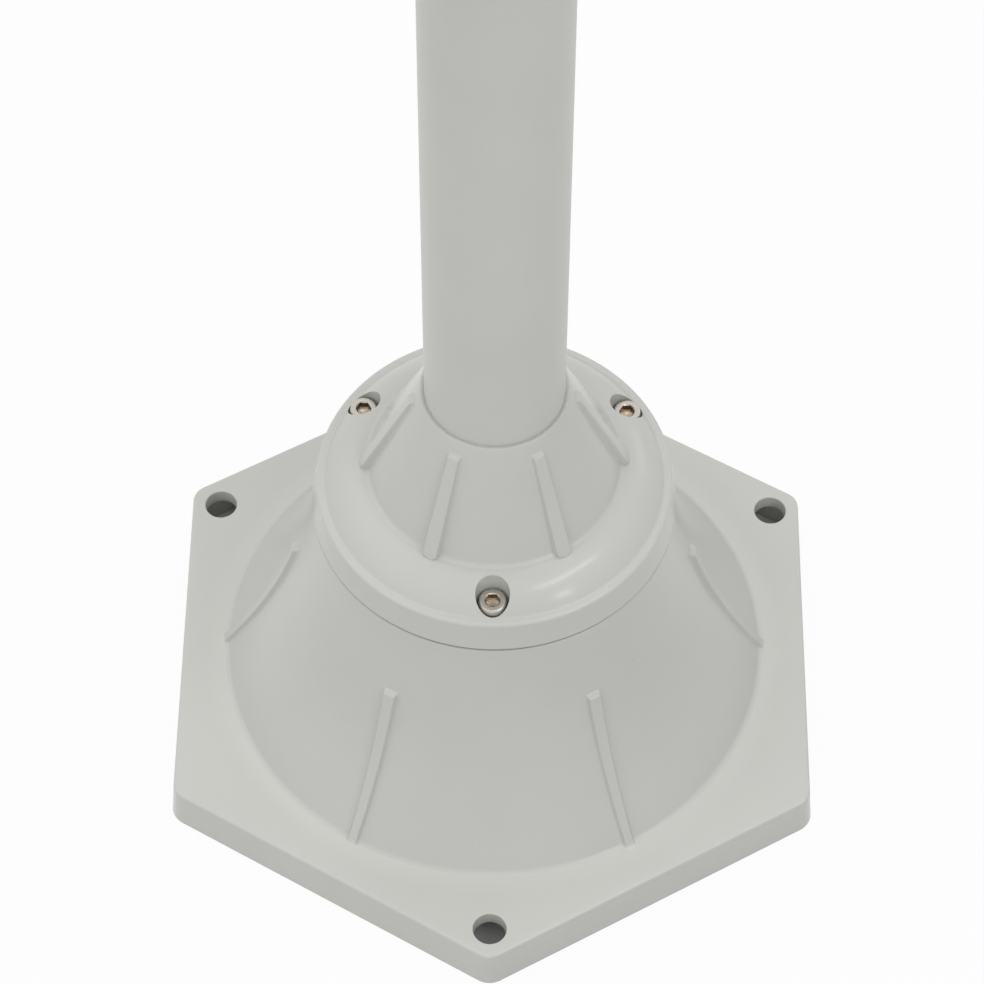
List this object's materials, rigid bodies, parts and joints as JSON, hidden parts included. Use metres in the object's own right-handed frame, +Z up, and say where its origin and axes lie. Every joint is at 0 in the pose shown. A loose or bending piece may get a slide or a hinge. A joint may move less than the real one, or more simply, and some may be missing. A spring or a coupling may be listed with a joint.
{
  "type": "lamp post foot with lower post section",
  "caption": "Foot of a lamp post: hexagonal cast base flaring down from a ribbed bell, screwed-on ribbed collar and a plain round post tube.",
  "frame": {"origin": "middle of the flat underside of the hexagonal base", "axes": "+Z up along the post; one corner of the base, with an anchor hole and a collar screw, points to -Y; two flats of the base face +X and -X"},
  "size_m": [0.2444, 0.2796, 0.5],
  "materials": {
    "painted_casting": "warm light grey powder coat, semi-gloss",
    "painted_tube": "warm light grey powder coat, semi-gloss",
    "gasket_rubber": "matt black",
    "stainless": "plain stainless steel"
  },
  "bodies": {
    "root": {"base_casting": "painted_casting", "collar_gasket": "gasket_rubber", "collar_casting": "painted_casting", "post_tube": "painted_tube", "collar_screw_front": "stainless", "collar_screw_left": "stainless", "collar_screw_right": "stainless", "tube_set_screw_front": "stainless", "tube_set_screw_left": "stainless", "tube_set_screw_right": "stainless"}
  },
  "joints": []
}
